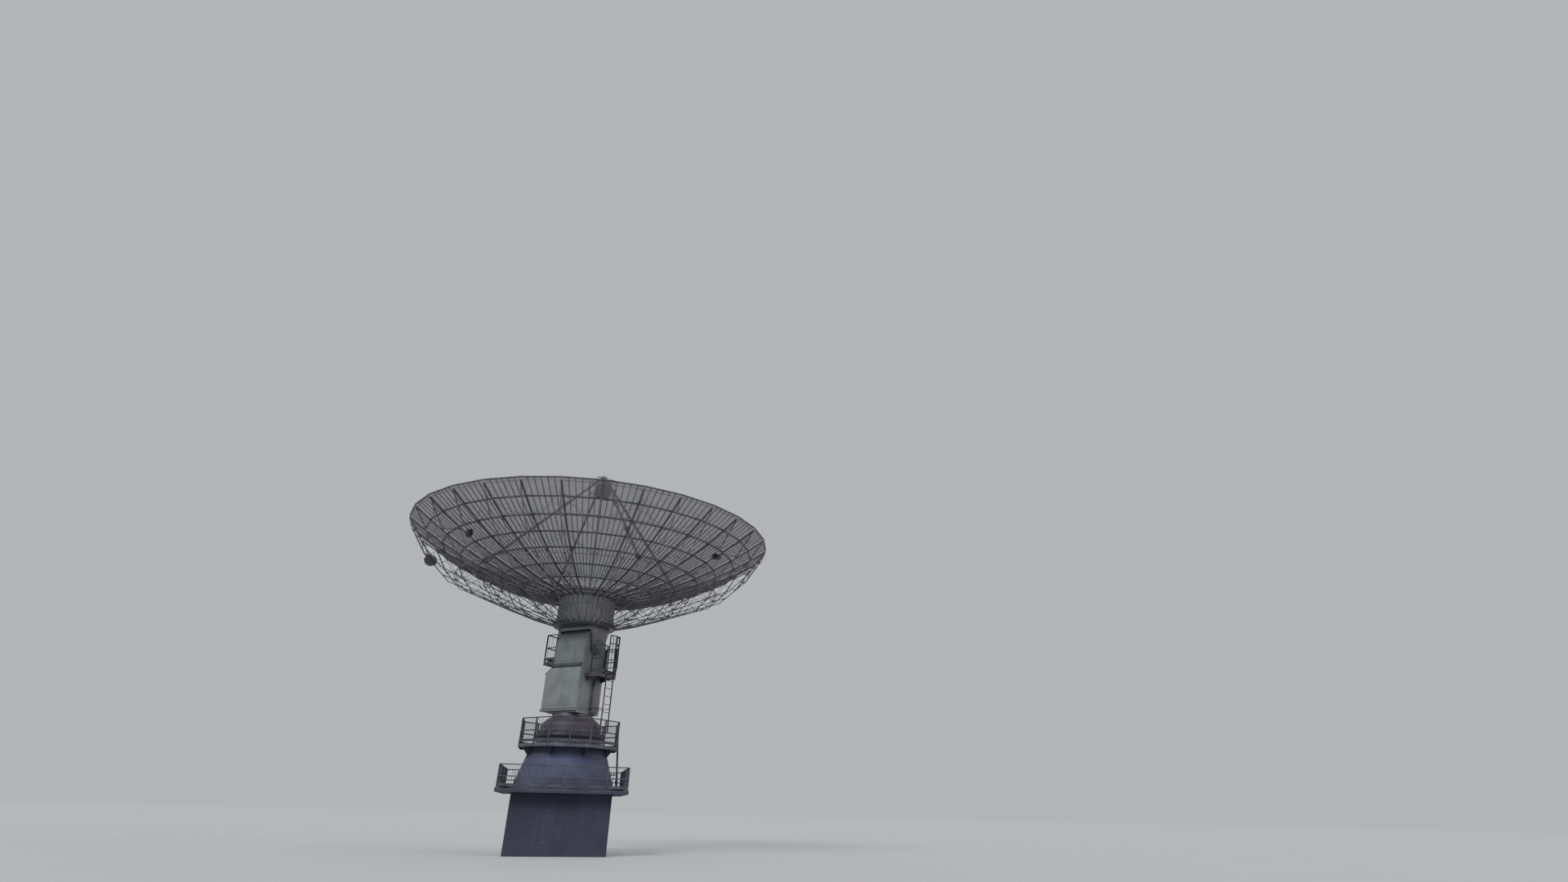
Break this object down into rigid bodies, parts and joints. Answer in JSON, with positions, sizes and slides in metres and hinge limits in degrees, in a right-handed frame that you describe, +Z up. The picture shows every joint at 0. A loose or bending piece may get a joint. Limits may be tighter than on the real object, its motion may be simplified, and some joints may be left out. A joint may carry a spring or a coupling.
{
  "type": "radio telescope dish",
  "caption": "Mesh radio telescope dish on a turning turret over a concrete plinth and cone, tipping in elevation, stowed pointing straight up.",
  "frame": {"origin": "on the ground under the middle of the plinth, on the azimuth axis", "axes": "+Z up along the azimuth axis, -Y towards the side that the picture shows, +X to that picture's right"},
  "size_m": [15, 15, 15.35],
  "materials": {
    "plinth_concrete": "matt cast concrete, weathered",
    "terrace_concrete": "matt cast concrete, weathered",
    "cone_render": "smooth painted render, satin",
    "gallery_paint": "satin paint on steel plate",
    "galvanised_steel": "dull galvanised, spangled",
    "bearing_steel": "satin paint, greasy at the joint",
    "skirt_paint": "satin paint on rolled plate",
    "turret_paint": "satin pale grey-green paint",
    "platform_paint": "satin paint on plate and gussets",
    "axle_steel": "machined steel, oiled",
    "yoke_paint": "satin pale grey-green paint",
    "hub_paint": "satin grey paint",
    "truss_steel": "dull zinc-grey paint on steel sections",
    "reflector_mesh": "dull aluminium mesh on aluminium purlins",
    "leg_paint": "dull grey paint on tube",
    "feed_paint": "satin grey paint on a sheet housing"
  },
  "bodies": {
    "base": {"base_block": "plinth_concrete", "terrace_slab": "terrace_concrete", "terrace_railing_front": "galvanised_steel", "terrace_railing_left": "galvanised_steel", "terrace_railing_right": "galvanised_steel", "terrace_railing_back": "galvanised_steel", "ground_ladder": "galvanised_steel", "base_cone": "cone_render", "gallery_floor": "gallery_paint", "gallery_railing": "galvanised_steel", "gallery_ladder": "galvanised_steel", "azimuth_bearing": "bearing_steel"},
    "turret": {"azimuth_flange": "bearing_steel", "turret_skirt": "skirt_paint", "turret_column": "turret_paint", "equipment_cabin": "turret_paint", "right_platform": "platform_paint", "left_platform": "platform_paint", "right_railing": "galvanised_steel", "left_railing": "galvanised_steel", "platform_ladder": "galvanised_steel", "right_trunnion": "axle_steel", "left_trunnion": "axle_steel"},
    "dish": {"hub": "hub_paint", "yoke": "yoke_paint", "vertex_panel": "reflector_mesh", "truss_sector_1": "truss_steel", "truss_sector_2": "truss_steel", "truss_sector_3": "truss_steel", "truss_sector_4": "truss_steel", "truss_sector_5": "truss_steel", "truss_sector_6": "truss_steel", "truss_sector_7": "truss_steel", "truss_sector_8": "truss_steel", "reflector_quarter_1": "reflector_mesh", "reflector_quarter_2": "reflector_mesh", "reflector_quarter_3": "reflector_mesh", "reflector_quarter_4": "reflector_mesh", "rim_tube": "truss_steel", "feed_leg_1": "leg_paint", "feed_leg_2": "leg_paint", "feed_leg_3": "leg_paint", "feed_leg_4": "leg_paint", "feed_head": "leg_paint", "feed_drum": "feed_paint"}
  },
  "joints": [
    {"name": "azimuth", "type": "hinge", "parent": "base", "child": "turret", "pos_m": [0, 0, 3.99], "axis": [0, 0, 1], "range_deg": [-180, 180]},
    {"name": "elevation", "type": "hinge", "parent": "turret", "child": "dish", "pos_m": [0, 0, 7.5], "axis": [0.773, -0.6344, 0], "range_deg": [0, 70]}
  ]
}
